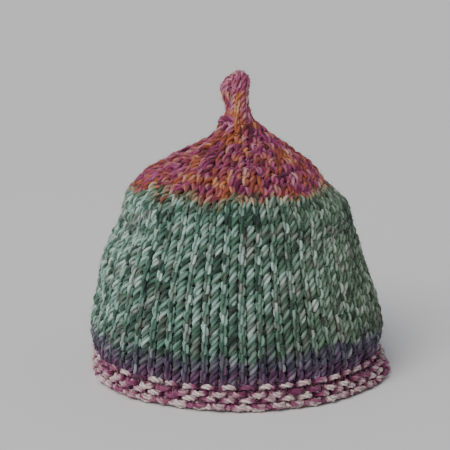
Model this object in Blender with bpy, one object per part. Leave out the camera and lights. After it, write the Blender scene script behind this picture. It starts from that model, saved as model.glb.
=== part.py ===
# Hand-knitted tea cosy in chunky yarn: a hollow cover worked in one piece, with a garter
# hem, a slit at each side and a gathered crown, and a knitted cord loop sewn on its top.
# Metres, +Z up. The origin is on the surface the hem stands on, under the middle of the
# cover. The front faces -Y, the narrow slit is at -X and the wide one at +X.

import math

import bmesh
import bpy
import numpy as np
from mathutils import Vector

MM = 0.001

# The hem flares to the right, so the cover's upright axis stands left of the hem's middle
AXIS_PLACE = (-2.23, 0.78, 0.0)

# Cloth: the fabric is a little under two yarns thick
WALL = 6.0
HEM_EDGE_ROUNDING = 1.4
COVER_SEGMENTS = 64
OUTSIDE_STEPS = 2
INSIDE_STEPS = 1
WELD_DISTANCE = 0.01
SHARP_EDGE = math.radians(50)

# Cover, one row for each section from the hem up, in millimetres: the height, then how far
# the outside stands from the upright axis at the left, at the right and at front and back
SECTIONS = (
    (1.2, 83.6, 87.2, 81.0),     # cast-on edge
    (3.2, 84.6, 88.2, 82.0),     # first garter ridge
    (5.4, 83.2, 86.2, 80.6),     # groove
    (8.2, 84.4, 85.8, 81.6),     # second garter ridge
    (10.6, 82.8, 82.2, 80.0),    # groove
    (13.2, 84.0, 81.6, 80.8),    # third garter ridge
    (16.0, 82.8, 79.8, 79.0),    # groove under the smooth knitting
    (21.0, 84.4, 81.8, 80.2),
    (29.0, 84.3, 82.4, 80.2),
    (38.0, 83.0, 80.8, 79.2),
    (47.0, 80.7, 78.8, 77.4),
    (57.0, 79.2, 75.4, 75.0),
    (67.0, 77.0, 71.8, 72.4),
    (77.0, 72.8, 68.8, 69.2),
    (86.0, 68.2, 64.8, 65.6),
    (94.0, 66.0, 62.8, 62.8),
    (101.0, 63.9, 59.0, 59.4),
    (106.5, 61.4, 51.4, 55.6),   # first row of the crown
    (112.0, 56.4, 47.4, 50.8),
    (117.0, 50.2, 43.0, 45.6),
    (122.5, 40.0, 37.4, 38.8),
    (127.6, 28.2, 31.0, 30.2),
    (131.8, 19.8, 24.8, 22.8),
    (135.6, 14.0, 19.4, 17.0),
    (139.0, 11.4, 15.8, 13.6),
    (141.4, 10.6, 12.6, 11.4),   # gathered nub
    (142.4, 9.4, 10.2, 9.8),
)
GARTER_ROWS = 7
CROWN_TOP = SECTIONS[-1][0]
CROWN_INSIDE_RISE = 0.4   # the inside's middle above the ring round it

# Soft unevenness of the wall: waves round the cover, size in mm, phase and lean per mm
WAVES = (
    (3, 0.55, 0.6, 0.012),
    (5, 0.40, 2.1, -0.020),
    (9, 0.30, 4.0, 0.045),
    (14, 0.18, 1.2, -0.060),
)

WAVE_FULL_RADIUS = 52.0   # nearer the axis the waves fade away

# Folds of the crown where its stitches are drawn together
GATHERS = 12
GATHER_DEPTH = 1.1
GATHER_INNER_RADIUS = 12.0
GATHER_OUTER_RADIUS = 52.0

# Slits at the sides, in millimetres: height and half the gap between the two edges
NARROW_SLIT = (
    (19.0, 0.0),
    (24.0, 3.4),
    (34.0, 5.2),
    (60.0, 4.4),
    (85.0, 5.4),
    (95.0, 3.4),
    (100.0, 0.0),
)
WIDE_SLIT = (
    (20.0, 0.0),
    (27.0, 5.4),
    (40.0, 11.0),
    (56.0, 14.0),
    (70.0, 12.4),
    (82.0, 7.0),
    (90.0, 0.0),
)
SLIT_STEPS = 3
SLIT_CUT_FROM = 45.0
SLIT_CUT_TO = 100.0
SLIT_LIP = 1.4          # how far the loose edges of a slit stand out
SLIT_LIP_REACH = 16.0   # how far from the gap the lip is felt

# Cord loop, in millimetres. Each leg runs from the nub to the middle of the arch: the place
# of its middle line, and its radius there
LOOP_GAP = 0.3
LOOP_FOOT = CROWN_TOP + LOOP_GAP
FOOT_STEP = 0.5   # the second leg and the knot are sewn on a little higher than the first
FRONT_LEG = (
    (1.1, -3.0, LOOP_FOOT, 6.0),
    (1.1, -3.0, 146.5, 5.6),
    (1.2, -3.1, 151.0, 5.4),
    (1.4, -3.6, 156.5, 5.1),
    (1.8, -4.0, 161.5, 4.9),
    (2.2, -2.6, 165.4, 4.9),
    (1.3, 0.4, 167.0, 4.7),
    (-1.2, 2.6, 166.3, 4.5),
)
BACK_LEG = (
    (-2.0, 3.6, LOOP_FOOT + FOOT_STEP, 5.2),
    (-2.0, 3.6, 146.5, 4.8),
    (-2.2, 3.8, 151.0, 4.5),
    (-3.8, 4.8, 155.5, 4.2),
    (-5.4, 6.0, 160.0, 4.3),
    (-5.3, 5.4, 164.0, 4.4),
    (-3.0, 3.4, 166.0, 4.3),
    (-0.4, 1.4, 166.7, 4.2),
)
LEG_STEPS = 3
LEG_BEVEL_RESOLUTION = 3

# Sewn-down end of the cord at the left of the loop's foot
KNOT_HALF_SIZE = (3.8, 3.4, 2.0)
KNOT_MIDDLE = (-7.0, -2.6, LOOP_FOOT + FOOT_STEP + KNOT_HALF_SIZE[2])
KNOT_SEGMENTS = 14
KNOT_RINGS = 9

COVER_COLOUR = (0.200, 0.290, 0.235, 1.0)
LOOP_COLOUR = (0.420, 0.120, 0.150, 1.0)
YARN_ROUGHNESS = 0.95


def clear_scene():
    for thing in list(bpy.data.objects):
        bpy.data.objects.remove(thing, do_unlink=True)


def yarn_material(name, colour):
    material = bpy.data.materials.new(name)
    material.use_nodes = True
    shader = material.node_tree.nodes["Principled BSDF"]
    shader.inputs["Base Color"].default_value = colour
    shader.inputs["Roughness"].default_value = YARN_ROUGHNESS
    shader.inputs["Metallic"].default_value = 0.0
    material.diffuse_color = colour
    return material


def add_object(name, mesh, material=None):
    thing = bpy.data.objects.new(name, mesh)
    bpy.context.scene.collection.objects.link(thing)
    thing.parent = bpy.data.objects["upright_axis"]
    if material is not None:
        mesh.materials.append(material)
    return thing


def smooth_rows(rows, steps):
    """Rows of a smooth curve through the given ones, with steps rows for each of them."""
    rows = np.array(rows, dtype=float)
    ends = np.vstack([2.0 * rows[0] - rows[1], rows, 2.0 * rows[-1] - rows[-2]])
    made = []
    for index in range(1, len(rows)):
        before, start, end, after = ends[index - 1:index + 3]
        for step in range(steps):
            t = step / steps
            curve = 2.0 * start + (end - before) * t
            curve += (2.0 * before - 5.0 * start + 4.0 * end - after) * t ** 2
            curve += (3.0 * start - before - 3.0 * end + after) * t ** 3
            made.append(curve / 2.0)
    made.append(rows[-1])
    return np.array(made)


def inset_rows(rows, distance):
    """The same sections moved into the cloth, at right angles to the front's outline."""
    slope = np.gradient(rows[:, [3, 0]], axis=0)
    slope /= np.linalg.norm(slope, axis=1)[:, None]
    depth = rows[:, 3] - distance * slope[:, 1]
    height = rows[:, 0] + distance * slope[:, 0]
    narrowed = rows * (depth / rows[:, 3])[:, None]
    narrowed[:, 0] = height
    return narrowed


def wall_outline():
    """Sections from the middle of the nub down the outside, under the hem and up inside."""
    outside = smooth_rows(SECTIONS, OUTSIDE_STEPS)
    inside = inset_rows(smooth_rows(SECTIONS[GARTER_ROWS - 1:], INSIDE_STEPS), WALL)
    inside = inside[inside[:, 3] > WALL]
    foot_outer = outside[0] - HEM_EDGE_ROUNDING
    foot_outer[0] = 0.0
    foot_inner = outside[0] - WALL + HEM_EDGE_ROUNDING
    foot_inner[0] = 0.0
    hem_inner = outside[0] - WALL
    hem_inner[0] = outside[0][0]
    nub_outer = np.array([CROWN_TOP, 0.0, 0.0, 0.0])
    nub_inner = np.array([inside[-1][0] + CROWN_INSIDE_RISE, 0.0, 0.0, 0.0])
    return np.vstack([nub_outer, outside[::-1], foot_outer, foot_inner, hem_inner, inside,
                      nub_inner])


def wave_at(angle, height):
    return sum(size * math.sin(count * angle + phase + lean * height)
               for count, size, phase, lean in WAVES)


def gather_at(angle, radius):
    """Depth of the crown's folds, nothing at the nub and beyond the crown."""
    span = (radius - GATHER_INNER_RADIUS) / (GATHER_OUTER_RADIUS - GATHER_INNER_RADIUS)
    if not 0.0 < span < 1.0:
        return 0.0
    return GATHER_DEPTH * math.sin(math.pi * span) * math.cos(GATHERS * angle)


def lip_at(across, height, slit):
    """How far the wall stands out beside a slit, at a distance across from its middle."""
    heights, gaps = zip(*slit)
    if not heights[0] < height < heights[-1]:
        return 0.0
    fade = math.sin(math.pi * (height - heights[0]) / (heights[-1] - heights[0]))
    beside = max(0.0, abs(across) - float(np.interp(height, heights, gaps)))
    return SLIT_LIP * fade * math.exp(-(beside / SLIT_LIP_REACH) ** 2)


def make_cover(material):
    outline = wall_outline()
    shape = bmesh.new()
    left = shape.verts.layers.float.new("left")
    right = shape.verts.layers.float.new("right")
    chain = []
    for height, left_reach, right_reach, depth in outline:
        point = shape.verts.new((depth, 0.0, height))
        point[left] = left_reach / depth if depth else 1.0
        point[right] = right_reach / depth if depth else 1.0
        chain.append(point)
    edges = [shape.edges.new(pair) for pair in zip(chain, chain[1:])]
    bmesh.ops.spin(shape, geom=chain + edges, cent=(0, 0, 0), axis=(0, 0, 1), dvec=(0, 0, 0),
                   angle=2.0 * math.pi, steps=COVER_SEGMENTS, use_merge=True)
    bmesh.ops.remove_doubles(shape, verts=shape.verts, dist=WELD_DISTANCE)
    for point in shape.verts:
        x, y, height = point.co
        radius = math.hypot(x, y)
        angle = math.atan2(y, x)
        x *= point[right] if x > 0.0 else point[left]
        slit = WIDE_SLIT if x > 0.0 else NARROW_SLIT
        grow = wave_at(angle, height) * min(1.0, radius / WAVE_FULL_RADIUS) ** 2
        grow += lip_at(y, height, slit)
        point.co.x = x + grow * math.cos(angle)
        point.co.y = y + grow * math.sin(angle)
        point.co.z = height + gather_at(angle, radius)
    bmesh.ops.scale(shape, vec=(MM, MM, MM), verts=shape.verts)
    bmesh.ops.recalc_face_normals(shape, faces=shape.faces)
    mesh = bpy.data.meshes.new("knitted_cover")
    shape.to_mesh(mesh)
    shape.free()
    mesh.shade_smooth()
    mesh.set_sharp_from_angle(angle=SHARP_EDGE)
    cover = add_object("knitted_cover", mesh, material)
    cut(cover, make_slit_cutter("narrow_slit_cut", NARROW_SLIT, -1.0))
    cut(cover, make_slit_cutter("wide_slit_cut", WIDE_SLIT, 1.0))
    return cover


def make_slit_cutter(name, slit, side):
    """A long lens-shaped block across the wall, at the left for side -1 or the right for 1."""
    rows = smooth_rows(slit, SLIT_STEPS)
    shape = bmesh.new()
    outline = [(gap, height) for height, gap in rows]
    outline += [(-gap, height) for height, gap in rows[-2:0:-1]]
    ring = [shape.verts.new((side * SLIT_CUT_FROM, y, z)) for y, z in outline]
    face = shape.faces.new(ring)
    made = bmesh.ops.extrude_face_region(shape, geom=[face])["geom"]
    far = [item for item in made if isinstance(item, bmesh.types.BMVert)]
    bmesh.ops.translate(shape, vec=(side * (SLIT_CUT_TO - SLIT_CUT_FROM), 0, 0), verts=far)
    bmesh.ops.scale(shape, vec=(MM, MM, MM), verts=shape.verts)
    bmesh.ops.recalc_face_normals(shape, faces=shape.faces)
    mesh = bpy.data.meshes.new(name)
    shape.to_mesh(mesh)
    shape.free()
    cutter = add_object(name, mesh)
    hide(cutter)
    return cutter


def hide(thing):
    thing.hide_render = True
    thing.display_type = "WIRE"


def combine(target, tool, operation):
    modifier = target.modifiers.new(tool.name, "BOOLEAN")
    modifier.operation = operation
    modifier.solver = "EXACT"
    modifier.use_self = operation == "UNION"
    modifier.object = tool


def cut(target, tool):
    combine(target, tool, "DIFFERENCE")


def make_leg(name, rows):
    """One leg of the loop, as a curve with a round section and filled ends."""
    points = smooth_rows(rows, LEG_STEPS)
    curve = bpy.data.curves.new(name, "CURVE")
    curve.dimensions = "3D"
    curve.bevel_depth = MM
    curve.bevel_resolution = LEG_BEVEL_RESOLUTION
    curve.use_fill_caps = True
    spline = curve.splines.new("POLY")
    spline.points.add(len(points) - 1)
    for point, (x, y, z, radius) in zip(spline.points, points):
        point.co = (x * MM, y * MM, z * MM, 1.0)
        point.radius = radius
    return add_object(name, curve)


def make_knot():
    shape = bmesh.new()
    bmesh.ops.create_uvsphere(shape, u_segments=KNOT_SEGMENTS, v_segments=KNOT_RINGS, radius=1.0)
    bmesh.ops.scale(shape, vec=KNOT_HALF_SIZE, verts=shape.verts)
    bmesh.ops.translate(shape, vec=KNOT_MIDDLE, verts=shape.verts)
    bmesh.ops.scale(shape, vec=(MM, MM, MM), verts=shape.verts)
    mesh = bpy.data.meshes.new("sewn_end")
    shape.to_mesh(mesh)
    shape.free()
    knot = add_object("sewn_end", mesh)
    hide(knot)
    return knot


def make_loop(material):
    front = make_leg("front_leg", FRONT_LEG)
    back = make_leg("back_leg", BACK_LEG)
    meshes = []
    for leg in (front, back):
        evaluated = leg.evaluated_get(bpy.context.evaluated_depsgraph_get())
        meshes.append(bpy.data.meshes.new_from_object(evaluated))
        bpy.data.objects.remove(leg, do_unlink=True)
    loop = add_object("top_loop", meshes[0], material)
    back_body = add_object("back_leg_body", meshes[1])
    hide(back_body)
    combine(loop, back_body, "UNION")
    combine(loop, make_knot(), "UNION")
    return loop


def add_axis():
    axis = bpy.data.objects.new("upright_axis", None)
    axis.location = Vector(AXIS_PLACE) * MM
    bpy.context.scene.collection.objects.link(axis)


def build():
    clear_scene()
    add_axis()
    make_cover(yarn_material("cover_yarn", COVER_COLOUR))
    make_loop(yarn_material("loop_yarn", LOOP_COLOUR))


build()
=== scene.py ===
# Knitted tea cosy in chunky marled wool. Every row of stitches is a strand of plied yarn laid
# on the imported cover, with a thin ground cloth between painted dark as shade, and a knitted cord loop on top.
import math

import bmesh
import bpy
import numpy as np
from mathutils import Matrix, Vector
from mathutils.bvhtree import BVHTree


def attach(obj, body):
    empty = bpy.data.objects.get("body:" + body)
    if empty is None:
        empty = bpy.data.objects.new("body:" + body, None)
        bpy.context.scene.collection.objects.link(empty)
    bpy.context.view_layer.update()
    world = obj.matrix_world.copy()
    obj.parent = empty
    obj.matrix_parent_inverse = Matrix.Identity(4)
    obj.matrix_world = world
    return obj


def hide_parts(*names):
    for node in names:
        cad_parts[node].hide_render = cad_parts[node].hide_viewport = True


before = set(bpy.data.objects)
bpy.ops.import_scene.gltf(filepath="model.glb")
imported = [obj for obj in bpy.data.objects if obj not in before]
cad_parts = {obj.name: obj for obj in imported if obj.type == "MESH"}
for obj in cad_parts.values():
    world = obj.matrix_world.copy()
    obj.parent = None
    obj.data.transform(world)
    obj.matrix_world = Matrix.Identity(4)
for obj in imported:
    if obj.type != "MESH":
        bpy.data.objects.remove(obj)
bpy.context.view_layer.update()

mm = 0.001
fullTurn = 2.0 * math.pi

camera = {
    "place": (-0.0092, -0.7192, 0.2250),
    "pitchDown": 11.1,          # degrees
    "lens": 103.8,
    "sensor": 36.0,
}


def placeCamera():
    lens = bpy.data.cameras.new("camera")
    lens.lens = camera["lens"]
    lens.sensor_width = camera["sensor"]
    eye = bpy.data.objects.new("camera", lens)
    eye.location = camera["place"]
    eye.rotation_euler = (math.radians(90.0 - camera["pitchDown"]), 0.0, 0.0)
    bpy.context.scene.collection.objects.link(eye)
    bpy.context.scene.camera = eye


placeCamera()

wall = {
    "axis": (-2.23 * mm, 0.78 * mm),
    "angles": 240,
    "low": 1.5,                 # mm, where the outside starts
    "high": 141.5,              # mm, where it ends and closes over the top
    # height in mm and how far inside the edge, from under the hem outwards
    "under": ((0.0, 6.0), (0.0, 5.0), (0.0, 4.0), (0.0, 3.0), (0.0, 2.0), (0.2, 1.2), (0.7, 0.5)),
    # height in mm and share of the reach, inwards over the top
    "closing": ((142.6, 0.92), (143.8, 0.83), (145.0, 0.74), (146.0, 0.64), (146.6, 0.50), (146.8, 0.30)),
}


def readWall():
    # Rays from all round find how far the cover's outside lies from its axis.
    solid = bpy.data.objects["knitted_cover"]
    tree = BVHTree.FromObject(solid, bpy.context.evaluated_depsgraph_get())
    centre = Vector((*wall["axis"], 0.0))
    angles = np.linspace(0.0, fullTurn, wall["angles"], endpoint=False)
    heights = np.arange(wall["low"], wall["high"] + 0.5) * mm
    reach = np.full((len(heights), len(angles)), np.nan)
    for i, z in enumerate(heights):
        for j, a in enumerate(angles):
            way = Vector((math.cos(a), math.sin(a), 0.0))
            hit = tree.ray_cast(centre + way * 0.2 + Vector((0, 0, z)), -way)[0]
            if hit is not None and (hit - centre).dot(way) > 0.0:
                reach[i, j] = (hit - centre).xy.dot(way.xy)
        good = ~np.isnan(reach[i])    # the slits have nothing to hit
        around = np.concatenate([angles[good] - fullTurn, angles[good], angles[good] + fullTurn])
        reach[i] = np.interp(angles, around, np.tile(reach[i][good], 3))
    return tree, heights, softened(reach)


def softened(reach):
    # Takes away the solid's facets and the ridges of its hem.
    size = 4
    taps = np.exp(-0.5 * (np.arange(-size, size + 1) / 2.0) ** 2)
    taps /= taps.sum()
    ring = np.concatenate([reach[:, -size:], reach, reach[:, :size]], axis=1)
    reach = sum(tap * ring[:, k:k + reach.shape[1]] for k, tap in enumerate(taps))
    low = 2 * reach[:1] - reach[size:0:-1]
    high = 2 * reach[-1:] - reach[-2:-size - 2:-1]
    tall = np.concatenate([low, reach, high], axis=0)
    return sum(tap * tall[k:k + reach.shape[0]] for k, tap in enumerate(taps))


def closedWall(heights, reach):
    # Adds the turn under the hem and the closing over the top, and measures along the wall.
    under = np.array([reach[0] - inside * mm for _, inside in wall["under"]])
    closing = np.array([reach[-1] * share for _, share in wall["closing"]])
    underHeights = [height * mm for height, _ in wall["under"]]
    closingHeights = [height * mm for height, _ in wall["closing"]]
    heights = np.concatenate([underHeights, heights, closingHeights])
    reach = np.concatenate([under, reach, closing])
    steps = np.hypot(np.diff(reach.mean(axis=1)), np.diff(heights))
    return heights, reach, np.concatenate([[0.0], np.cumsum(steps)])


coverTree, outsideHeights, outsideReach = readWall()
wallHeights, wallReach, wallLengths = closedWall(outsideHeights, outsideReach)
wallRows = np.arange(len(wallLengths))
outsideFirst = len(wall["under"])
outsideLast = outsideFirst + len(outsideHeights)
print("wall read from the frame:", round(float(wallLengths[-1]), 4), "m from edge to top")


def lengthOf(height):
    part = slice(outsideFirst, outsideLast)
    return np.interp(height, wallHeights[part], wallLengths[part])


def heightOf(length):
    return np.interp(length, wallLengths, wallHeights)


def reachAt(angle, length):
    row = np.clip(np.interp(length, wallLengths, wallRows), 0.0, len(wallRows) - 1.001)
    column = (np.asarray(angle) / fullTurn * wall["angles"]) % wall["angles"]
    low, left = np.floor(row).astype(int), np.floor(column).astype(int) % wall["angles"]
    right = (left + 1) % wall["angles"]
    up, across = row - low, column - np.floor(column)
    bottom = wallReach[low, left] * (1 - across) + wallReach[low, right] * across
    top = wallReach[low + 1, left] * (1 - across) + wallReach[low + 1, right] * across
    return bottom * (1 - up) + top * up


def surfaceAt(angle, length):
    # Points of the outside and the directions straight out of it.
    def point(a, s):
        reach = reachAt(a, s)
        return np.stack([wall["axis"][0] + reach * np.cos(a), wall["axis"][1] + reach * np.sin(a),
                         heightOf(s)], axis=-1)
    turn = point(angle + 0.03, length) - point(angle - 0.03, length)
    rise = point(angle, length + 1.5 * mm) - point(angle, length - 1.5 * mm)
    out = np.cross(turn, rise)
    return point(angle, length), out / np.linalg.norm(out, axis=-1, keepdims=True)


def readSlits():
    # Half the gap of the narrow (-1) and the wide (1) slit over the cover's height.
    heights = np.arange(8.0, 112.0, 2.0) * mm
    gaps = {-1: [], 1: []}
    for side, found in gaps.items():
        for z in heights:
            gap = 0.0
            for y in np.arange(0.0, 20.0, 0.25) * mm:
                start = Vector((wall["axis"][0] + side * 0.2, wall["axis"][1] + y, z))
                hit = coverTree.ray_cast(start, Vector((-side, 0, 0)))[0]
                if hit is not None and (hit.x - wall["axis"][0]) * side > 0.03:
                    gap = y
                    break
            found.append(gap)
    return heights, gaps


slitHeights, slitHalf = readSlits()


def slitEdge(side, length, inset):
    # Angle from the slit's middle to the middle of the yarn at its edge.
    gap = np.interp(heightOf(length), slitHeights, slitHalf[side], left=0.0, right=0.0)
    inset = inset * np.clip(gap / (1.5 * mm), 0.0, 1.0)
    return (gap + inset) / reachAt(math.pi if side < 0 else 0.0, length)


yarn = {
    "radius": 1.82 * mm,
    "plies": 3,
    "lobe": (0.72, 1.0, 1.10, 1.0),    # groove and crest of a ply, in shares of the radius
    "twistLength": 13.5 * mm,      # one full turn of the plies
    "uneven": 0.08,                # thick and thin along the strand
    "seed": 11,
}
random = np.random.default_rng(yarn["seed"])
sides = yarn["plies"] * len(yarn["lobe"])
ring = np.arange(sides)
lobes = np.tile(yarn["lobe"], yarn["plies"])
bakePoints = 20    # rings to one cell of the baking map


def strand(points, out, radius, level, front, tint, closed=False):
    # Values along one strand; each is a number or an array with one for each point. The tint
    # is 1 for magenta and -1 for orange, whatever the row.
    count = len(points)
    fill = {"radius": radius, "level": level, "front": front, "tint": tint}
    made = {key: np.broadcast_to(np.asarray(value, dtype=float), (count,)) for key, value in fill.items()}
    steps = np.roll(points, -1, axis=0) - np.roll(points, 1, axis=0)
    if not closed:
        steps = np.gradient(points, axis=0)
    along = steps / np.linalg.norm(steps, axis=1, keepdims=True)
    out = out - along * np.sum(out * along, axis=1, keepdims=True)
    out = out / np.linalg.norm(out, axis=1, keepdims=True)
    made.update(points=points, along=along, out=out, side=np.cross(along, out), closed=closed)
    made.update(start=float(random.uniform(0.0, 50.0)), phase=float(random.uniform(0.0, fullTurn)))
    return made


def meshFromArrays(name, verts, corners, sizes, maps, values):
    mesh = bpy.data.meshes.new(name)
    mesh.vertices.add(len(verts))
    mesh.vertices.foreach_set("co", verts.astype(np.float32).ravel())
    mesh.loops.add(len(corners))
    mesh.loops.foreach_set("vertex_index", corners.astype(np.int32))
    mesh.polygons.add(len(sizes))
    starts = np.concatenate([[0], np.cumsum(sizes)[:-1]])
    mesh.polygons.foreach_set("loop_start", starts.astype(np.int32))
    for label, places in maps.items():
        layer = mesh.uv_layers.new(name=label)
        layer.uv.foreach_set("vector", places.astype(np.float32).ravel())
    mesh.update(calc_edges=True)
    for label, numbers in values.items():
        attribute = mesh.attributes.new(label, "FLOAT", "POINT")
        attribute.data.foreach_set("value", numbers.astype(np.float32))
    mesh.shade_smooth()
    mesh.validate()
    piece = bpy.data.objects.new(name, mesh)
    bpy.context.scene.collection.objects.link(piece)
    return piece


def twistedRings(path):
    # The rings of points round a strand, with the plies' lobes turning along it.
    points, count = path["points"], len(path["points"])
    steps = np.linalg.norm(np.diff(points, axis=0), axis=1)
    length = np.concatenate([[0.0], np.cumsum(steps)])
    total = length[-1] + (np.linalg.norm(points[0] - points[-1]) if path["closed"] else 0.0)
    turns = total / yarn["twistLength"]
    if path["closed"]:
        turns = max(1.0, round(turns * yarn["plies"]) / yarn["plies"])    # plies meet where it closes
    twist = fullTurn * turns * length / total + path["phase"]
    angle = twist[:, None] + ring[None, :] * (fullTurn / sides)
    reach = path["radius"][:, None] * lobes[None, :]
    rings = points[:, None, :] + reach[..., None] * (np.cos(angle)[..., None] * path["out"][:, None, :]
                                                     + np.sin(angle)[..., None] * path["side"][:, None, :])
    rings[..., 2] = np.maximum(rings[..., 2], 0.1 * mm)    # pressed flat on the table
    return rings.reshape(-1, 3), np.append(length, total)[:count + 1], int(round(turns * sides)) % sides


def strandMesh(paths, name):
    # One mesh of plied yarn. PlyUV goes round the strand and along it in metres, and OFBake
    # gives each stitch a place of its own.
    cells = sum(math.ceil(len(path["points"]) / bakePoints) for path in paths)
    cellsAcross = math.ceil(math.sqrt(cells / 2.0))
    cellsUp = math.ceil(cells / cellsAcross)
    verts, corners, sizes, plyUv, bakeUv = [], [], [], [], []
    offset = cell = 0
    for path in paths:
        rings, length, shift = twistedRings(path)
        count = len(path["points"])
        spans = count if path["closed"] else count - 1
        i, j = np.repeat(np.arange(spans), sides), np.tile(ring, spans)
        cornerRing = np.stack([i, i, i + 1, i + 1], axis=1)
        cornerSide = np.stack([j, j + 1, j + 1, j], axis=1)
        turned = np.where(cornerRing == count, shift, 0)
        corners.append((offset + cornerRing % count * sides + (cornerSide + turned) % sides).ravel())
        sizes.append(np.full(len(i), 4))
        plyUv.append(np.stack([cornerSide / sides, length[cornerRing] + path["start"]], axis=-1).reshape(-1, 2))
        chunk = i // bakePoints
        within = (cornerRing - (chunk * bakePoints)[:, None]) / bakePoints
        cellX, cellY = (cell + chunk) % cellsAcross, (cell + chunk) // cellsAcross
        across = (cellX[:, None] + 0.02 + 0.96 * within) / cellsAcross
        up = (cellY[:, None] + 0.02 + 0.96 * cornerSide / sides) / cellsUp
        bakeUv.append(np.stack([across, up], axis=-1).reshape(-1, 2))
        if not path["closed"]:
            for place, order in ((0, -1), (count - 1, 1)):    # flat ends
                corners.append(offset + place * sides + ring[::order])
                sizes.append([sides])
                plyUv.append(np.stack([ring / sides, np.full(sides, length[place])], axis=-1))
                spot = bakeUv[-1][0 if place == 0 else -1]
                bakeUv.append(spot + 0.004 / cellsAcross * np.stack([np.cos(ring), np.sin(ring)], axis=-1))
        cell += math.ceil(count / bakePoints)
        offset += count * sides
        verts.append(rings)
    values = {label: np.concatenate([np.repeat(path[key], sides) for path in paths])
              for label, key in (("rowLevel", "level"), ("front", "front"), ("tint", "tint"))}
    maps = {"OFBake": np.concatenate(bakeUv), "PlyUV": np.concatenate(plyUv)}
    return meshFromArrays(name, np.concatenate(verts), np.concatenate(corners), np.concatenate(sizes),
                          maps, values)


stitch = {
    "points": 20,
    "behind": 0.45,            # how close the points lie behind, against those in front
    "width": 8.4 * mm,
    "spread": 0.18,            # how far the tops of the legs part, in stitch widths
    "rise": 4.7 * mm,          # half a stitch's height
    "depth": 1.7 * mm,         # how far the legs lie before the heads
    "lean": 0.01,              # the yarn's twist tips every stitch to the right
    "legDifference": 0.07,     # the right leg is thicker than the left
    "legLift": -0.15 * mm,     # and lies a little behind it
    "tilt": 0.10,              # the top of a stitch leans back behind the next one
    "shift": 0.30 * mm,        # random places, from here down
    "depthShift": 0.30 * mm,
    "size": 0.07,
    "purlOut": 0.35,           # purl bumps stand out by this share of their depth
}


def evenTimes():
    # Values of t from -pi to pi along one stitch: foot, left leg, head, right leg. They lie
    # closest together where the legs come to the front.
    t = np.linspace(-math.pi, math.pi, 721)
    x = stitch["width"] * (t / fullTurn + stitch["spread"] * np.sin(2.0 * t))
    y, z = stitch["rise"] * np.cos(t), stitch["depth"] * np.cos(2.0 * t)
    weight = stitch["behind"] + (1.0 - stitch["behind"]) * (0.5 - 0.5 * np.cos(t[1:] + t[:-1]))
    steps = np.sqrt(np.diff(x) ** 2 + np.diff(y) ** 2 + np.diff(z) ** 2) * weight
    length = np.concatenate([[0.0], np.cumsum(steps)])
    return np.interp(np.arange(stitch["points"]) / stitch["points"] * length[-1], length, t)


stitchTimes = evenTimes()


def stitchRun(count, kind, rise, depth, closed, tilt=stitch["tilt"]):
    # A row of stitches: across in stitch widths, along the wall, and depth towards the outside.
    t = np.tile(stitchTimes, count)
    own = np.repeat(np.arange(count) + 0.5, stitch["points"])
    u = own + t / fullTurn
    def wander(size):
        values = random.normal(0.0, size, count + 1)
        if closed:
            values[-1] = values[0]
        return np.interp(u, np.arange(count + 1), values)
    along = rise * (1.0 + wander(stitch["size"])) * np.cos(t) + wander(stitch["shift"])
    across = u + stitch["spread"] * np.sin(2.0 * t) + stitch["lean"] * along / stitch["width"]
    facing = 1.0 if kind == "knit" else -1.0
    deep = -facing * depth * np.cos(2.0 * t)
    front = 0.5 + 0.5 * deep / depth
    if kind == "purl":
        deep = deep + stitch["purlOut"] * depth
    right = np.sin(t) if kind == "knit" else np.zeros(len(t))
    deep = deep + wander(stitch["depthShift"]) + stitch["legLift"] * right - tilt * along
    return {"own": own, "across": across, "along": along, "deep": deep, "front": front,
            "thick": 1.0 + stitch["legDifference"] * right}


def strandRadius(count, width, closed):
    # Thick and thin along a strand, and thinner where the stitches are crowded.
    base = yarn["radius"] * min(1.0, max(0.86, width / (8.2 * mm)))
    place = np.linspace(0.0, fullTurn, count, endpoint=False)
    rates = random.integers(3, 40, 5) if closed else random.uniform(3.0, 160.0, 5)
    waves = sum(np.sin(place * rate + random.uniform(0.0, fullTurn)) for rate in rates) / 3.0
    return base * (1.0 + yarn["uneven"] * waves)


def laid(angle, length, deep, depth):
    place, out = surfaceAt(angle, length)
    return place + out * (deep - yarn["radius"] - depth)[:, None], out


cover = {
    "columns": 48,
    "hemColumns": 48,
    "hemShare": 0.84,           # the hem's yarn against the body's
    "bodyFirst": 18.6 * mm,     # height of the lowest smooth row
    "bodyRows": 18,
    "bodyLast": 107.0 * mm,
    "crownRows": 10,
    "crownWidth": 8.3 * mm,     # of its stitches, which grow fewer towards the top
    "crownRise": 5.1 * mm,
    "crownShare": 1.06,         # and the crown's, which is looser
    "crownDepth": 0.9 * mm,     # and flatter, so that no stitch shows its top from below
    "crownTilt": 0.08,
    "slitFrom": 19.5 * mm,
    "slitTo": 99.0 * mm,
    "magentaEdge": 9.0 * mm,    # the narrow slit's back edge shows some magenta, this far back
}
hemRows = (    # height, kind, half height, depth and how far behind the outside, in mm, from the edge up
    (1.4, "purl", 1.0, 0.8, 0.8),
    (3.2, "knit", 2.0, 0.9, 1.8),
    (5.3, "purl", 2.0, 1.7, 0.0),
    (8.6, "knit", 2.4, 0.9, 1.8),
    (12.0, "purl", 2.3, 1.7, -0.5),
    (15.2, "knit", 2.4, 0.9, 1.0),
)


def rowLengths():
    first, crown = lengthOf(cover["bodyFirst"]), lengthOf(cover["bodyLast"])
    body = np.linspace(first, crown, cover["bodyRows"] + 1)[:-1]
    return np.concatenate([body, np.linspace(crown, wallLengths[-1] - 4.5 * mm, cover["crownRows"])])


rows = rowLengths()
rowGap = float(rows[1] - rows[0])
halfColumns = cover["columns"] // 2


def roundAt(length):
    return fullTurn * float(reachAt(np.linspace(0.0, fullTurn, 24), length).mean())


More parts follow.
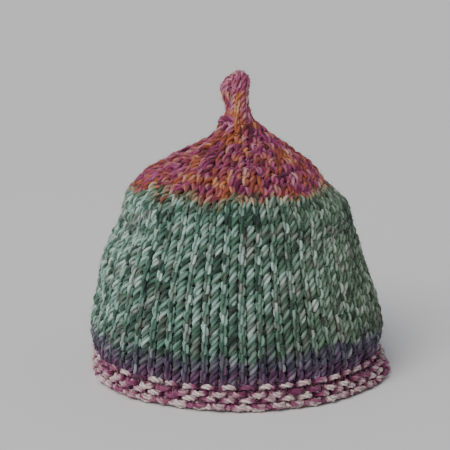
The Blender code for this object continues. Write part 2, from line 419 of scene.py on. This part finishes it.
def crownCounts():
    counts = [cover["columns"]]
    for length in rows[cover["bodyRows"] + 1:]:
        counts.append(min(counts[-1], max(9, round(roundAt(length) / cover["crownWidth"]))))
    return counts + counts[-1:]


def ringAngle(across, count):
    return math.pi + fullTurn * across / count    # column 0 starts at the narrow slit, at the left


def halfAngle(across, half, length, inset):
    # Angle of a column in the front (0) or the back (1) half. The slits push aside the columns
    # beside them, and less and less those further off.
    narrow, wide = slitEdge(-1, length, inset), slitEdge(1, length, inset)
    first, last = (narrow, wide) if half == 0 else (wide, narrow)
    place = across / halfColumns
    return math.pi * (1.0 + half + place) + first * (1.0 - place) ** 4 - last * place ** 4


def ringStrand(length, count, kind, level, rise, depth, nextCount=None, behind=0.0, share=1.0,
               tilt=stitch["tilt"]):
    # A closed row. Where the next row has fewer stitches, the tops of the legs lean to join them.
    run = stitchRun(count, kind, rise, depth, closed=True, tilt=tilt)
    width = roundAt(length) / count
    angle = ringAngle(run["across"], count)
    if nextCount and nextCount != count:
        parent = np.floor(run["own"] * nextCount / count) + 0.5
        join = np.clip(run["along"] / rowGap, 0.0, 1.0)
        lean = ringAngle(parent, nextCount) - ringAngle(run["own"], count)
        angle += lean * join * join * (3.0 - 2.0 * join)
    points, out = laid(angle, length + run["along"], run["deep"] - behind, depth)
    radius = strandRadius(len(points), width, closed=True) * run["thick"] * share
    return strand(points, out, radius, level + run["along"] / rowGap, run["front"], 0.0, closed=True)


def halfStrand(chosen, half):
    # Rows of one half worked to and fro as one strand, which turns at the slits' edges.
    bend = np.linspace(0.0, 1.0, 6)[1:-1]
    parts = []
    for k, level in enumerate(chosen):
        run = stitchRun(halfColumns, "knit", stitch["rise"], stitch["depth"], closed=False)
        along = rows[level] + run["along"]
        across = np.clip(run["across"], -0.05, halfColumns + 0.05)
        angle = halfAngle(across, half, along, yarn["radius"])
        points, out = laid(angle, along, run["deep"], stitch["depth"])
        row = [points, out, level + run["along"] / rowGap, run["front"], run["thick"]]
        parts.append([values[::-1] for values in row] if k % 2 else row)
        if k + 1 < len(chosen):
            edge, away = (0.0, -1.0) if k % 2 else (halfColumns, 1.0)
            along = rows[level] - stitch["rise"] * 0.6 + rowGap * bend
            across = edge + away * 0.12 * np.sin(math.pi * bend)
            points, out = laid(halfAngle(across, half, along, yarn["radius"]), along,
                               -stitch["depth"] * np.cos(fullTurn * bend), stitch["depth"])
            parts.append([points, out, level + bend, np.full(len(bend), 0.5), np.ones(len(bend))])
    points, out, level, front, thick = (np.concatenate(values) for values in zip(*parts))
    radius = strandRadius(len(points), stitch["width"], closed=False) * thick
    x, y, z = points.T
    edge = (x < 0.0) & (y > 0.0) & (y < cover["magentaEdge"]) & (z > 58.0 * mm) & (z < 68.0 * mm)
    return strand(points, out, radius, level, front, edge * 1.0)


def knitCover():
    inSlit = [k for k in range(cover["bodyRows"]) if cover["slitFrom"] < heightOf(rows[k]) < cover["slitTo"]]
    rings = [ringStrand(rows[k], cover["columns"], "knit", k, stitch["rise"], stitch["depth"])
             for k in range(cover["bodyRows"]) if k not in inSlit]
    groups = {"bodyStitchesEnds": rings}
    third = math.ceil(len(inSlit) / 3)
    for part in range(3):
        chosen = inSlit[part * third:(part + 1) * third]
        groups[f"bodyStitches{part + 1}"] = [halfStrand(chosen, half) for half in (0, 1)]
    counts = crownCounts()
    print("crown stitches in each row:", counts)
    groups["crownStitches"] = [
        ringStrand(rows[cover["bodyRows"] + k], counts[k], "knit", cover["bodyRows"] + k,
                   cover["crownRise"], cover["crownDepth"], counts[k + 1], share=cover["crownShare"],
                   tilt=cover["crownTilt"])
        for k in range(len(counts) - 1)]
    groups["hemStitches"] = [
        ringStrand(lengthOf(height * mm), cover["hemColumns"], kind, k - len(hemRows), rise * mm, depth * mm,
                   behind=behind * mm, share=cover["hemShare"]) for k, (height, kind, rise, depth, behind) in enumerate(hemRows)]
    return groups


coverStrands = knitCover()
coverPieces = [strandMesh(paths, name) for name, paths in coverStrands.items()]
for piece in coverPieces:
    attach(piece, "root")
    print(piece.name, len(piece.data.polygons), "faces")

ground = {
    "depth": (4.0 * mm, 2.4 * mm),    # under the outside, on the body and on the crown
    "thickness": 0.8 * mm,
    "rows": 40,
    "inset": 1.2 * mm,
    "flat": (0.520, 0.170),     # the widest round and the length from edge to top
    "area": 0.062,
}


def groundCloth():
    # Two halves from the hem to the top, joined where no slit parts them.
    shape = bmesh.new()
    level = shape.verts.layers.float.new("rowLevel")
    lengths = np.linspace(lengthOf(2.0 * mm), wallLengths[-1], ground["rows"] + 1)
    for half in (0, 1):
        made = bmesh.ops.create_grid(shape, x_segments=halfColumns * 2, y_segments=ground["rows"], size=1.0)
        for vert in made["verts"]:
            across = (vert.co.x * 0.5 + 0.5) * halfColumns
            length = np.interp((vert.co.y * 0.5 + 0.5) * ground["rows"], np.arange(len(lengths)), lengths)
            angle = halfAngle(across, half, length, ground["inset"])
            place, out = surfaceAt(np.array([angle]), np.array([length]))
            vert[level] = float(np.interp(length, rows, np.arange(len(rows)), left=-3.0))
            depth = np.interp(vert[level], (cover["bodyRows"] - 1, cover["bodyRows"] + 1), ground["depth"])
            vert.co = Vector(place[0] - out[0] * float(depth))
    bmesh.ops.remove_doubles(shape, verts=shape.verts, dist=0.1 * mm)
    shape.edges.ensure_lookup_table()
    top = [edge for edge in shape.edges if edge.is_boundary and edge.verts[0].co.z > 0.13]
    bmesh.ops.holes_fill(shape, edges=top, sides=0)
    bmesh.ops.recalc_face_normals(shape, faces=shape.faces)
    if sum(face.normal.dot(face.calc_center_median()) for face in shape.faces) < 0.0:
        bmesh.ops.reverse_faces(shape, faces=shape.faces)
    mesh = bpy.data.meshes.new("coverGround")
    shape.to_mesh(mesh)
    shape.free()
    mesh.shade_smooth()
    piece = bpy.data.objects.new("coverGround", mesh)
    bpy.context.scene.collection.objects.link(piece)
    solid = piece.modifiers.new("thickness", "SOLIDIFY")
    solid.thickness = ground["thickness"]
    solid.offset = -1.0
    return piece


coverGround = groundCloth()
print("ground cloth area:", round(sum(face.area for face in coverGround.data.polygons), 4), "m2")
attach(coverGround, "root")
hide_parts("knitted_cover")

loop = {
    # middle of the cord and its radius in mm, from the front foot over the arch to the back foot
    "route": (
        (1.3, -2.6, 142.6, 8.2), (1.2, -2.9, 146.0, 6.8), (1.2, -3.1, 150.5, 5.6), (1.3, -3.6, 156.5, 5.1),
        (1.6, -4.0, 161.3, 5.1), (1.8, -2.8, 164.8, 5.1), (1.5, -0.2, 166.3, 4.9), (-0.6, 2.6, 165.6, 4.2),
        (-3.7, 4.4, 163.7, 4.1), (-5.7, 5.0, 160.8, 4.3), (-5.1, 4.8, 156.8, 4.1), (-3.0, 4.0, 151.6, 4.4),
        (-2.0, 3.4, 146.5, 5.4), (-1.9, 3.4, 142.8, 6.8),
    ),
    "samples": 160,
    "columns": 4,
    "rowGap": 5.0 * mm,
    "rise": 4.5 * mm,
    "yarnShare": 0.86,          # the cord's yarn is drawn tighter
    "orange": 0.8,              # share of orange in the front column, below a height
    "orangeTop": 159.0 * mm,
    "magenta": 0.75,            # share of magenta above it
    "depth": 0.7 * mm,
    # the end of the cord, sewn down at the left of its foot, in mm
    "end": (
        (0.2, -7.2, 143.6), (-3.0, -7.6, 144.6), (-6.0, -6.6, 145.2), (-8.6, -4.4, 144.4), (-9.0, -2.2, 142.0),
        (-7.0, -3.4, 141.6), (-5.4, -6.6, 142.2), (-3.6, -8.6, 141.2), (-1.6, -9.0, 140.2),
    ),
    "endRadius": 1.75 * mm,
}


def smoothRoute(points, samples):
    # A smooth curve through the points, evenly spaced.
    points = np.array(points, dtype=float) * mm
    steps = np.linalg.norm(np.diff(points[:, :3], axis=0), axis=1)
    length = np.concatenate([[0.0], np.cumsum(steps)])
    slopes = np.gradient(points, length, axis=0)
    place = np.linspace(0.0, length[-1], samples)
    k = np.clip(np.searchsorted(length, place, side="right") - 1, 0, len(length) - 2)
    h = (length[k + 1] - length[k])[:, None]
    t = (place - length[k])[:, None] / h
    return (points[k] * (2 * t ** 3 - 3 * t ** 2 + 1) + points[k + 1] * (3 * t ** 2 - 2 * t ** 3)
            + slopes[k] * h * (t ** 3 - 2 * t ** 2 + t) + slopes[k + 1] * h * (t ** 3 - t ** 2)), place


def carriedFrame(points, first):
    # Directions across a route that turn as little as they can.
    along = np.gradient(points, axis=0)
    along /= np.linalg.norm(along, axis=1, keepdims=True)
    across = np.zeros_like(points)
    direction = np.array(first, dtype=float)
    for k, way in enumerate(along):
        direction = direction - way * direction.dot(way)
        direction /= np.linalg.norm(direction)
        across[k] = direction
    return along, across, np.cross(along, across)


def knitLoop():
    middle = np.array([wall["axis"][0], wall["axis"][1], 0.0])
    route, place = smoothRoute(loop["route"], loop["samples"])
    radius = route[:, 3]
    _, front, side = carriedFrame(route[:, :3], (0.0, -1.0, 0.0))
    yarnRadius = yarn["radius"] * loop["yarnShare"]
    count = loop["columns"]
    rings = []
    for k in range(int(place[-1] / loop["rowGap"])):
        run = stitchRun(count, "knit", loop["rise"], loop["depth"], closed=True)
        along = np.clip((k + 0.5) * loop["rowGap"] + run["along"], 0.0, place[-1])
        angle = fullTurn * (run["across"] - 0.5) / count
        def at(values):
            return np.stack([np.interp(along, place, values[:, n]) for n in range(3)], axis=-1)
        out = np.cos(angle)[:, None] * at(front) + np.sin(angle)[:, None] * at(side)
        reach = np.interp(along, place, radius) - yarnRadius - loop["depth"] + run["deep"]
        points = middle + at(route[:, :3]) + out * reach[:, None]
        above = points[:, 2] > loop["orangeTop"]
        column = -loop["orange"] * np.clip(np.cos(angle + 0.35) * 5.0 - 3.5, 0.0, 1.0)
        column = np.where(above, loop["magenta"], column)
        rings.append(strand(points, out, yarnRadius * run["thick"], 30.0 + k, run["front"], column, closed=True))
    end, _ = smoothRoute([(*point, 0.0) for point in loop["end"]], 60)
    _, out, _ = carriedFrame(end[:, :3], (0.0, -1.0, 0.0))
    taper = np.interp(np.arange(60), (0, 3, 56, 59), (0.5, 1.0, 1.0, 0.5))
    rings.append(strand(middle + end[:, :3], out, loop["endRadius"] * taper, 30.0, 1.0, 0.8))
    return rings


loopStrands = knitLoop()
loopStitches = strandMesh(loopStrands, "loopStitches")
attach(loopStitches, "root")
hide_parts("top_loop")
print("loop knitted:", len(loopStitches.data.polygons), "faces")

fuzz = {
    "coverCount": 13000,
    "loopCount": 700,
    "length": (1.5 * mm, 5.5 * mm),
    "radius": 0.05 * mm,
    "frontLeast": 0.35,         # fibres grow only on yarn that lies this far to the front
}


def growFibres(paths, count, name):
    # Thin tapered three-sided hairs that lie along the yarn and lift off it.
    def gather(key):
        return np.concatenate([path[key] for path in paths])
    chosen = np.flatnonzero(gather("front") > fuzz["frontLeast"])
    chosen = random.choice(chosen, count)
    out, along, side = (gather(key)[chosen] for key in ("out", "along", "side"))
    tip = random.uniform(-1.2, 1.2, count)[:, None]
    up = np.cos(tip) * out + np.sin(tip) * side
    root = gather("points")[chosen] + up * gather("radius")[chosen][:, None] * 0.8
    way = random.choice((-1.0, 1.0), count)[:, None] * random.uniform(0.4, 1.0, count)[:, None]
    first = up * random.uniform(0.25, 1.0, count)[:, None] + along * way + random.normal(0.0, 0.3, (count, 3))
    first /= np.linalg.norm(first, axis=1, keepdims=True)
    second = first + along * way * 0.8 + random.normal(0.0, 0.35, (count, 3))
    second /= np.linalg.norm(second, axis=1, keepdims=True)
    size = random.uniform(*fuzz["length"], count)[:, None]
    places = [root, root + first * size * 0.5, root + first * size * 0.5 + second * size * 0.5]
    across = np.cross(first, up + 0.01)
    across /= np.linalg.norm(across, axis=1, keepdims=True)
    other = np.cross(first, across)
    verts = []
    for level, share in ((0, 1.0), (1, 0.75)):
        for turn in range(3):
            angle = fullTurn * turn / 3
            verts.append(places[level] + fuzz["radius"] * share * (math.cos(angle) * across
                                                                   + math.sin(angle) * other))
    verts = np.stack(verts + [places[2]], axis=1)
    verts[..., 2] = np.maximum(verts[..., 2], 0.05 * mm)
    pattern = [(0, 2, 1)]
    for a in range(3):
        b = (a + 1) % 3
        pattern += [(a, b, 3 + b), (a, 3 + b, 3 + a), (3 + a, 3 + b, 6)]
    pattern = np.array(pattern)
    corners = (np.arange(count)[:, None, None] * 7 + pattern[None]).ravel()
    each = pattern.size
    rowsOf = math.ceil(math.sqrt(count))
    index = np.repeat(np.arange(count), each)
    spot = np.stack([(index % rowsOf + 0.5) / rowsOf, (index // rowsOf + 0.5) / rowsOf], axis=-1)
    local = np.tile(np.array([(0, 0), (1, 0), (0, 1), (0.6, 0.5)] * each)[:each], (count, 1))
    bake = spot + (local - 0.4) * 0.7 / rowsOf
    ply = np.stack([np.repeat(random.uniform(0.0, 1.0, count), each),
                    np.repeat(random.uniform(0.0, 50.0, count), each)], axis=-1)
    values = {"rowLevel": np.repeat(gather("level")[chosen], 7), "front": np.ones(count * 7),
              "tint": np.repeat(gather("tint")[chosen], 7)}
    return meshFromArrays(name, verts.reshape(-1, 3), corners, np.full(count * len(pattern), 3),
                          {"OFBake": bake, "PlyUV": ply}, values)


coverFuzz = growFibres([path for paths in coverStrands.values() for path in paths], fuzz["coverCount"], "coverFuzz")
loopFuzz = growFibres(loopStrands, fuzz["loopCount"], "loopFuzz")
for piece, slot in ((coverFuzz, "cover_yarn"), (loopFuzz, "loop_yarn")):
    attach(piece, "root")
print("fibres grown")


def linear(red, green, blue):
    # A colour as it looks on a screen, 0 to 255, as Blender's own linear value.
    values = []
    for part in (red, green, blue):
        share = part / 255.0
        values.append(share / 12.92 if share <= 0.04045 else ((share + 0.055) / 1.055) ** 2.4)
    return (*values, 1.0)


colours = {    # each zone of the self-striping wool, from its darkest to its lightest ply
    "hem": (linear(92, 22, 62), linear(120, 38, 84), linear(150, 80, 114), linear(206, 174, 178),
            linear(226, 210, 202)),
    "plum": (linear(46, 18, 42), linear(80, 40, 76), linear(112, 74, 108), linear(158, 134, 158)),
    "indigo": (linear(30, 26, 40), linear(64, 58, 76), linear(100, 96, 110), linear(150, 150, 160)),
    "green": (linear(24, 50, 40), linear(62, 98, 80), linear(104, 142, 124), linear(150, 184, 172),
              linear(184, 212, 202)),
    "olive": (linear(42, 52, 36), linear(88, 106, 80), linear(134, 150, 124), linear(178, 194, 172)),
    "grey": (linear(68, 68, 62), linear(132, 128, 120), linear(188, 184, 178)),
    "peach": (linear(52, 42, 26), linear(108, 84, 56), linear(162, 130, 98), linear(198, 174, 144)),
    "crown": (linear(84, 8, 44), linear(122, 26, 76), linear(148, 52, 100), linear(174, 88, 126),
              linear(194, 130, 148)),
    "orange": (linear(104, 34, 14), linear(160, 74, 36), linear(192, 110, 64), linear(212, 154, 108)),
}


def addNode(tree, kind, inputs=None, **settings):
    node = tree.nodes.new(kind)
    for key, value in settings.items():
        setattr(node, key, value)
    for key, value in (inputs or {}).items():
        if isinstance(value, bpy.types.NodeSocket):
            tree.links.new(value, node.inputs[key])
        else:
            node.inputs[key].default_value = value
    return node


def maths(tree, operation, first, second=0.0, third=0.0, clamp=False):
    values = {0: first, 1: second, 2: third}
    return addNode(tree, "ShaderNodeMath", values, operation=operation, use_clamp=clamp).outputs[0]


def between(tree, value, low, high):
    # 0 below low and 1 above high, smooth between.
    node = addNode(tree, "ShaderNodeMapRange", {"Value": value, "From Min": low, "From Max": high},
                   interpolation_type="SMOOTHSTEP")
    return node.outputs["Result"]


def mixed(tree, share, first, second, blend="MIX"):
    node = addNode(tree, "ShaderNodeMix", data_type="RGBA", blend_type=blend)
    for index, value in ((0, share), (6, first), (7, second)):
        if isinstance(value, bpy.types.NodeSocket):
            tree.links.new(value, node.inputs[index])
        else:
            node.inputs[index].default_value = value
    return node.outputs[2]


def tones(tree, value, zone):
    node = addNode(tree, "ShaderNodeValToRGB", {"Fac": value})
    stops = colours[zone]
    ramp = node.color_ramp
    while len(ramp.elements) < len(stops):
        ramp.elements.new(0.5)
    for k, colour in enumerate(stops):
        ramp.elements[k].position = 0.08 + 0.84 * k / (len(stops) - 1)
        ramp.elements[k].color = colour
    return node.outputs["Color"]


def noise(tree, vector, scale, detail=1.0):
    node = addNode(tree, "ShaderNodeTexNoise", {"Vector": vector, "Scale": scale, "Detail": detail})
    return node.outputs["Fac"]


def newGroup(name, inputs, outputs):
    tree = bpy.data.node_groups.new(name, "ShaderNodeTree")
    for label, kind, value in inputs:
        tree.interface.new_socket(label, in_out="INPUT", socket_type="NodeSocket" + kind).default_value = value
    for label, kind in outputs:
        tree.interface.new_socket(label, in_out="OUTPUT", socket_type="NodeSocket" + kind)
    return tree, tree.nodes.new("NodeGroupInput").outputs, tree.nodes.new("NodeGroupOutput").inputs


def plyGroup():
    # Reads the map round and along the strand: the groove between plies, each ply's own tone
    # and hue along its length, and the fibres.
    tree, given, result = newGroup(
        "plies", (("Tone Scale", "Float", 60.0), ("Shared", "Float", 0.3), ("Streak Scale", "Float", 260.0)),
        (("Crest", "Float"), ("Tone", "Float"), ("Hue", "Float"), ("Streak", "Float")))
    place = addNode(tree, "ShaderNodeUVMap", uv_map="PlyUV").outputs[0]
    parts = addNode(tree, "ShaderNodeSeparateXYZ", {0: place}).outputs
    count = yarn["plies"]
    wave = maths(tree, "SINE", maths(tree, "MULTIPLY", parts["X"], math.pi * count))
    crest = maths(tree, "ABSOLUTE", wave)
    ply = maths(tree, "FLOOR", maths(tree, "MULTIPLY", parts["X"], count))
    along = maths(tree, "MULTIPLY", parts["Y"], given["Tone Scale"])
    def alongPly(shift):
        across = maths(tree, "MULTIPLY_ADD", ply, 4.7, shift)
        return noise(tree, addNode(tree, "ShaderNodeCombineXYZ", {"X": along, "Y": across}).outputs[0], 1.0, 2.0)
    whole = maths(tree, "MULTIPLY", along, 1.5)
    whole = noise(tree, addNode(tree, "ShaderNodeCombineXYZ", {"X": whole, "Y": 71.3}).outputs[0], 1.0, 1.0)
    own = alongPly(0.0)
    tone = maths(tree, "MULTIPLY_ADD", maths(tree, "SUBTRACT", whole, own), given["Shared"], own)
    tone = between(tree, tone, 0.28, 0.72)
    fine = addNode(tree, "ShaderNodeCombineXYZ", {"X": maths(tree, "MULTIPLY", parts["X"], 70.0),
                                                  "Y": maths(tree, "MULTIPLY", parts["Y"], given["Streak Scale"])})
    streak = noise(tree, fine.outputs[0], 1.0, 2.0)
    for label, value in (("Crest", crest), ("Tone", tone), ("Hue", alongPly(33.1)), ("Streak", streak)):
        tree.links.new(value, result[label])
    return tree


def stripeGroup():
    # The colour of the self-striping wool at each row, uneven round the cover. Each zone mixes
    # two hues, ply by ply and in patches.
    tree, given, result = newGroup(
        "stripes", (("Level", "Float", 0.0), ("Tone", "Float", 0.5), ("Hue", "Float", 0.5),
                    ("Front", "Float", 1.0), ("Tint", "Float", 0.0)), (("Color", "Color"),))
    place = addNode(tree, "ShaderNodeTexCoord").outputs["Object"]
    parts = addNode(tree, "ShaderNodeSeparateXYZ", {0: place}).outputs
    tone = given["Tone"]
    patch = maths(tree, "SUBTRACT", noise(tree, place, 60.0, 2.0), 0.5)
    foot = maths(tree, "MULTIPLY_ADD", patch, 1.2, given["Level"])
    level = maths(tree, "MULTIPLY_ADD", patch, 3.6, given["Level"])
    level = maths(tree, "MULTIPLY_ADD", maths(tree, "SUBTRACT", given["Hue"], 0.5), 4.5, level)
    hue = maths(tree, "MULTIPLY_ADD", noise(tree, place, 130.0, 2.0), 0.6, maths(tree, "MULTIPLY", given["Hue"], 0.4))
    right = between(tree, parts["X"], -0.03, 0.09)
    upper = maths(tree, "MULTIPLY", between(tree, given["Level"], 12.0, 15.5),
                  between(tree, parts["X"], -0.06, -0.01))
    lower = maths(tree, "MULTIPLY_ADD", between(tree, given["Level"], 2.5, 6.0), 0.22, 0.78)
    # painted light: the left of the cover, towards the key light, is lighter and the rest a little darker
    left = maths(tree, "MULTIPLY_ADD", between(tree, parts["X"], -0.075, -0.015), -0.14, 1.12)
    shaded = maths(tree, "MULTIPLY", maths(tree, "MULTIPLY", tone, lower),
                   maths(tree, "MULTIPLY", left, maths(tree, "MULTIPLY_ADD", upper, -0.18, 1.0)))
    green = mixed(tree, maths(tree, "MULTIPLY", right, 0.8), tones(tree, shaded, "green"),
                  tones(tree, shaded, "olive"))
    grey = maths(tree, "MULTIPLY", between(tree, hue, 0.48, 0.62), 0.6)
    green = mixed(tree, grey, green, tones(tree, shaded, "grey"))
    # the hem lighter where its yarn stands to the front, with its cream ply on top, and darker in the recesses with
    # painted shade
    hemCreamTopsAndShade = maths(tree, "MULTIPLY_ADD", between(tree, given["Front"], 0.35, 1.0), 0.36, -0.08)
    hemCreamTopsAndShade = maths(tree, "MULTIPLY_ADD", tone, 0.80, hemCreamTopsAndShade)
    crown = mixed(tree, between(tree, hue, 0.42, 0.62), tones(tree, tone, "crown"), tones(tree, tone, "orange"))
    edge = mixed(tree, between(tree, hue, 0.46, 0.56), tones(tree, tone, "peach"), tones(tree, tone, "olive"))
    colour = mixed(tree, between(tree, foot, -1.6, -1.2), tones(tree, hemCreamTopsAndShade, "hem"), tones(tree, tone, "plum"))
    colour = mixed(tree, between(tree, level, -0.2, 0.8), colour, tones(tree, tone, "indigo"))
    colour = mixed(tree, between(tree, level, 1.4, 2.8), colour, green)
    colour = mixed(tree, between(tree, level, 17.4, 17.9), colour, edge)
    colour = mixed(tree, between(tree, level, 18.2, 18.8), colour, crown)
    colour = mixed(tree, maths(tree, "MULTIPLY", given["Tint"], 1.0, clamp=True), colour,
                   tones(tree, tone, "crown"))
    colour = mixed(tree, maths(tree, "MULTIPLY", given["Tint"], -1.0, clamp=True), colour,
                   tones(tree, tone, "orange"))
    tree.links.new(colour, result["Color"])
    return tree


def woolGroup():
    # Paints shade into the colour, in the grooves between plies and where the yarn lies deep; streaks the fibres and
    # gives the bump's height.
    tree, given, result = newGroup(
        "wool", (("Color", "Color", (0.5, 0.5, 0.5, 1.0)), ("Crest", "Float", 1.0), ("Streak", "Float", 0.5),
                 ("Front", "Float", 1.0), ("Groove Shade", "Float", 0.7), ("Depth", "Float", 0.6)),
        (("Color", "Color"), ("Height", "Float"), ("Roughness", "Float")))
    # painted shade in the grooves between plies
    grooveShadeMask = maths(tree, "POWER", maths(tree, "SUBTRACT", 1.0, given["Crest"]), 1.3)
    grooveShade = maths(tree, "SUBTRACT", 1.0, maths(tree, "MULTIPLY", grooveShadeMask, given["Groove Shade"]))
    # painted shade where the yarn lies deep behind the front of the fabric
    behind = maths(tree, "SUBTRACT", 1.0, between(tree, given["Front"], 0.10, 0.85))
    deep = maths(tree, "SUBTRACT", 1.0, maths(tree, "MULTIPLY", behind, given["Depth"]))
    streak = maths(tree, "MULTIPLY_ADD", given["Streak"], 0.4, 0.80)
    shade = maths(tree, "MULTIPLY", maths(tree, "MULTIPLY", grooveShade, deep), streak)
    grey = addNode(tree, "ShaderNodeCombineXYZ", {"X": shade, "Y": shade, "Z": shade}).outputs[0]
    colour = mixed(tree, 1.0, given["Color"], grey, "MULTIPLY")
    height = maths(tree, "MULTIPLY_ADD", given["Streak"], 0.25, maths(tree, "POWER", given["Crest"], 0.8))
    tree.links.new(colour, result["Color"])
    tree.links.new(height, result["Height"])
    tree.links.new(maths(tree, "MULTIPLY_ADD", given["Streak"], 0.2, 0.72), result["Roughness"])
    return tree


groups = {"plies": plyGroup(), "stripes": stripeGroup(), "wool": woolGroup()}


def useGroup(tree, name, inputs):
    return addNode(tree, "ShaderNodeGroup", inputs, node_tree=groups[name]).outputs


def yarnMaterial(name, toneScale, shared, grooveShade, depth, bump, sheen, lift=0.0):
    material = bpy.data.materials.new(name)
    material.use_nodes = True
    tree = material.node_tree
    shader = tree.nodes["Principled BSDF"]
    level = addNode(tree, "ShaderNodeAttribute", attribute_name="rowLevel").outputs["Fac"]
    front = addNode(tree, "ShaderNodeAttribute", attribute_name="front").outputs["Fac"]
    tint = addNode(tree, "ShaderNodeAttribute", attribute_name="tint").outputs["Fac"]
    plies = useGroup(tree, "plies", {"Tone Scale": toneScale, "Shared": shared})
    tone = maths(tree, "ADD", plies["Tone"], lift)
    stripes = useGroup(tree, "stripes", {"Level": level, "Tone": tone, "Hue": plies["Hue"],
                                         "Front": front, "Tint": tint})
    # the wool group paints shade into the colour, in the grooves between plies and where the yarn lies deep
    wool = useGroup(tree, "wool", {"Color": stripes["Color"], "Crest": plies["Crest"],
                                   "Streak": plies["Streak"], "Front": front, "Groove Shade": grooveShade,
                                   "Depth": depth})
    tree.links.new(wool["Color"], shader.inputs["Base Color"])
    tree.links.new(wool["Roughness"], shader.inputs["Roughness"])
    if bump:
        relief = addNode(tree, "ShaderNodeBump", {"Height": wool["Height"], "Distance": bump, "Strength": 1.0})
        tree.links.new(relief.outputs["Normal"], shader.inputs["Normal"])
    shader.inputs["Specular IOR Level"].default_value = 0.25
    shader.inputs["Sheen Weight"].default_value = sheen
    shader.inputs["Sheen Roughness"].default_value = 0.6
    return material


def groundMaterial():
    # The same wool in shadow: darker, and with the rows of stitches showing through.
    material = bpy.data.materials.new("groundWool")
    material.use_nodes = True
    tree = material.node_tree
    shader = tree.nodes["Principled BSDF"]
    level = addNode(tree, "ShaderNodeAttribute", attribute_name="rowLevel").outputs["Fac"]
    place = addNode(tree, "ShaderNodeTexCoord").outputs["Object"]
    fibre = noise(tree, place, 900.0, 3.0)
    # painted shade: the row colours taken darker, and the wool group's groove and depth shade at fixed values
    stripes = useGroup(tree, "stripes", {"Level": level, "Tone": maths(tree, "MULTIPLY", fibre, 0.9)})
    wool = useGroup(tree, "wool", {"Color": stripes["Color"], "Crest": 0.6, "Streak": fibre,
                                   "Front": 0.5, "Depth": 0.3})
    tree.links.new(wool["Color"], shader.inputs["Base Color"])
    tree.links.new(wool["Roughness"], shader.inputs["Roughness"])
    relief = addNode(tree, "ShaderNodeBump", {"Height": fibre, "Distance": 0.4 * mm, "Strength": 1.0})
    tree.links.new(relief.outputs["Normal"], shader.inputs["Normal"])
    shader.inputs["Specular IOR Level"].default_value = 0.1
    return material


# the fourth and fifth numbers set the painted shade in the grooves between plies and where the yarn lies deep
bodyYarn = yarnMaterial("bodyYarn", 60.0, 0.42, 0.62, 0.50, 0.6 * mm, 0.10)
crownYarn = yarnMaterial("crownYarn", 75.0, 0.25, 0.58, 0.42, 0.6 * mm, 0.10)
hemYarn = yarnMaterial("hemYarn", 65.0, 0.66, 0.40, 0.45, 0.35 * mm, 0.10)
loopYarn = yarnMaterial("loopYarn", 75.0, 0.25, 0.40, 0.15, 0.5 * mm, 0.12, lift=0.18)
fuzzYarn = yarnMaterial("fuzzYarn", 40.0, 0.0, 0.0, 0.0, 0.0, 0.3)
for piece in coverPieces:
    kind = {"crownStitches": crownYarn, "hemStitches": hemYarn}.get(piece.name, bodyYarn)
    piece.data.materials.append(kind)
loopStitches.data.materials.append(loopYarn)
coverFuzz.data.materials.append(fuzzYarn)
loopFuzz.data.materials.append(fuzzYarn)
coverGround.data.materials.append(groundMaterial())
print("wool coloured")

studio = {
    "keyTurn": (48.0, 0.0, -28.0),    # degrees
    "keySoftness": 36.0,              # degrees across the sun's disc
    "keyPower": 2.35,
    "keyColour": (1.0, 0.98, 0.95),
    "fillPlace": (-0.9, -0.9, 0.35),
    "fillSize": 0.9,
    "fillPower": 3.0,
    "fillColour": (0.92, 0.95, 1.0),
    "skyColour": (0.82, 0.86, 0.95, 1.0),
    "skyStrength": 0.40,
    "floorColour": (0.80, 0.79, 0.78, 1.0),
    "floorSize": 60.0,
}


def placeStudio():
    world = bpy.data.worlds.new("sky")
    world.use_nodes = True
    background = world.node_tree.nodes["Background"]
    background.inputs["Color"].default_value = studio["skyColour"]
    background.inputs["Strength"].default_value = studio["skyStrength"]
    bpy.context.scene.world = world
    sun = bpy.data.lights.new("key", "SUN")
    sun.energy = studio["keyPower"]
    sun.color = studio["keyColour"]
    sun.angle = math.radians(studio["keySoftness"])
    key = bpy.data.objects.new("key", sun)
    key.rotation_euler = [math.radians(turn) for turn in studio["keyTurn"]]
    bpy.context.scene.collection.objects.link(key)
    disk = bpy.data.lights.new("fill", "AREA")
    disk.shape = "DISK"
    disk.size = studio["fillSize"]
    disk.energy = studio["fillPower"]
    disk.color = studio["fillColour"]
    fill = bpy.data.objects.new("fill", disk)
    fill.location = studio["fillPlace"]
    aim = Vector((0, 0, 0.08)) - Vector(studio["fillPlace"])
    fill.rotation_euler = aim.to_track_quat("-Z", "Y").to_euler()
    bpy.context.scene.collection.objects.link(fill)
    shape = bmesh.new()
    bmesh.ops.create_grid(shape, x_segments=1, y_segments=1, size=studio["floorSize"])
    mesh = bpy.data.meshes.new("floor")
    shape.to_mesh(mesh)
    shape.free()
    floor = bpy.data.objects.new("floor", mesh)
    bpy.context.scene.collection.objects.link(floor)
    paint = bpy.data.materials.new("paleFloor")
    paint.use_nodes = True
    paint.node_tree.nodes["Principled BSDF"].inputs["Base Color"].default_value = studio["floorColour"]
    paint.node_tree.nodes["Principled BSDF"].inputs["Roughness"].default_value = 0.9
    mesh.materials.append(paint)


placeStudio()
